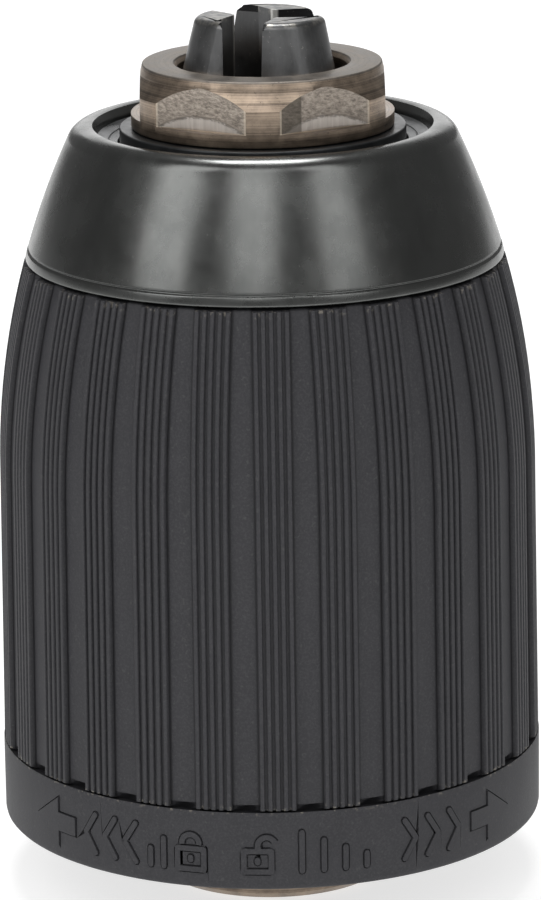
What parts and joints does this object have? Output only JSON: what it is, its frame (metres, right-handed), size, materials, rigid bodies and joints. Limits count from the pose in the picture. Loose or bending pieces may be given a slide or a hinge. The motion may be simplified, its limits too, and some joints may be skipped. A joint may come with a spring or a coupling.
{
  "type": "drill chuck",
  "caption": "Keyless drill chuck: ribbed grip sleeve and steel collar turn a threaded nut on a ball bearing, which slides three leaning jaws; threaded spindle socket at the rear.",
  "frame": {"origin": "centre of the hub's rear face, on the spindle axis", "axes": "+Z along the spindle axis towards the jaws, -Y towards the front of the view, +X to its right"},
  "size_m": [0.043, 0.043, 0.0692],
  "materials": {
    "turned_steel": "turned steel, thinly oiled and browned, with bright turning lines",
    "black_oxide": "black oxide, smooth",
    "hardened_steel": "ground hardened steel",
    "bearing_steel": "polished bearing steel",
    "cage_brass": "stamped brass",
    "nut_steel": "machined steel, phosphated",
    "grip_plastic": "charcoal glass-filled moulding, fine grain",
    "collar_steel": "black nitrided steel, glossy",
    "washer_steel": "satin zinc-plated steel",
    "cover_plastic": "black moulding",
    "jaw_steel": "dark oxide over ground steel, bright along the edges"
  },
  "bodies": {
    "chuck": {"chuck_body": "turned_steel", "nose_ring": "black_oxide", "ratchet_ring": "hardened_steel", "bearing_rear_race": "bearing_steel", "rear_clip": "bearing_steel"},
    "cage": {"bearing_balls": "bearing_steel", "bearing_cage": "cage_brass"},
    "nut": {"bearing_front_race": "bearing_steel", "nut_half_left": "nut_steel", "nut_half_right": "nut_steel", "nut_band": "hardened_steel", "lock_plate": "hardened_steel", "pawl_pins": "bearing_steel", "detent_spring": "bearing_steel"},
    "sleeve": {"sleeve_liner": "hardened_steel", "cam_ring": "hardened_steel", "grip_sleeve": "grip_plastic", "front_collar": "collar_steel", "front_washer": "washer_steel", "rear_cover": "cover_plastic"},
    "pawl_a": {"pawl_a": "hardened_steel"},
    "pawl_b": {"pawl_b": "hardened_steel"},
    "jaw_a": {"jaw_a": "jaw_steel"},
    "jaw_b": {"jaw_b": "jaw_steel"},
    "jaw_c": {"jaw_c": "jaw_steel"}
  },
  "joints": [
    {"name": "nut_turn", "type": "hinge", "parent": "chuck", "child": "nut", "pos_m": [0, 0, 0.04], "axis": [0, 0, 1], "range_deg": [-738, 2040]},
    {"name": "sleeve_lock", "type": "hinge", "parent": "nut", "child": "sleeve", "pos_m": [0, 0, 0.03], "axis": [0, 0, 1], "range_deg": [-12, 0]},
    {"name": "cage_turn", "type": "hinge", "parent": "chuck", "child": "cage", "pos_m": [0, 0, 0.0335], "axis": [0, 0, 1], "range_deg": [-372, 1023]},
    {"name": "pawl_a_tilt", "type": "hinge", "parent": "nut", "child": "pawl_a", "pos_m": [0.01625, 0, 0.0475], "axis": [0, 0, 1], "range_deg": [0, 3.4]},
    {"name": "pawl_b_tilt", "type": "hinge", "parent": "nut", "child": "pawl_b", "pos_m": [-0.01625, 0, 0.0475], "axis": [0, 0, 1], "range_deg": [0, 3.4]},
    {"name": "jaw_a_slide", "type": "slide", "parent": "chuck", "child": "jaw_a", "axis": [0.0538, 0.2532, -0.9659], "range_m": [-0.0062, 0.0171]},
    {"name": "jaw_b_slide", "type": "slide", "parent": "chuck", "child": "jaw_b", "axis": [-0.2462, -0.08, -0.9659], "range_m": [-0.0062, 0.0171]},
    {"name": "jaw_c_slide", "type": "slide", "parent": "chuck", "child": "jaw_c", "axis": [0.1923, -0.1732, -0.9659], "range_m": [-0.0062, 0.0171]}
  ],
  "couplings": [
    {"joint": "jaw_a_slide", "follows": "nut_turn", "m_per_rad": 0.00047746},
    {"joint": "jaw_b_slide", "follows": "nut_turn", "m_per_rad": 0.00047746},
    {"joint": "jaw_c_slide", "follows": "nut_turn", "m_per_rad": 0.00047746},
    {"joint": "cage_turn", "follows": "nut_turn", "ratio": 0.5},
    {"joint": "pawl_a_tilt", "follows": "sleeve_lock", "ratio": -0.28},
    {"joint": "pawl_b_tilt", "follows": "sleeve_lock", "ratio": -0.28}
  ]
}
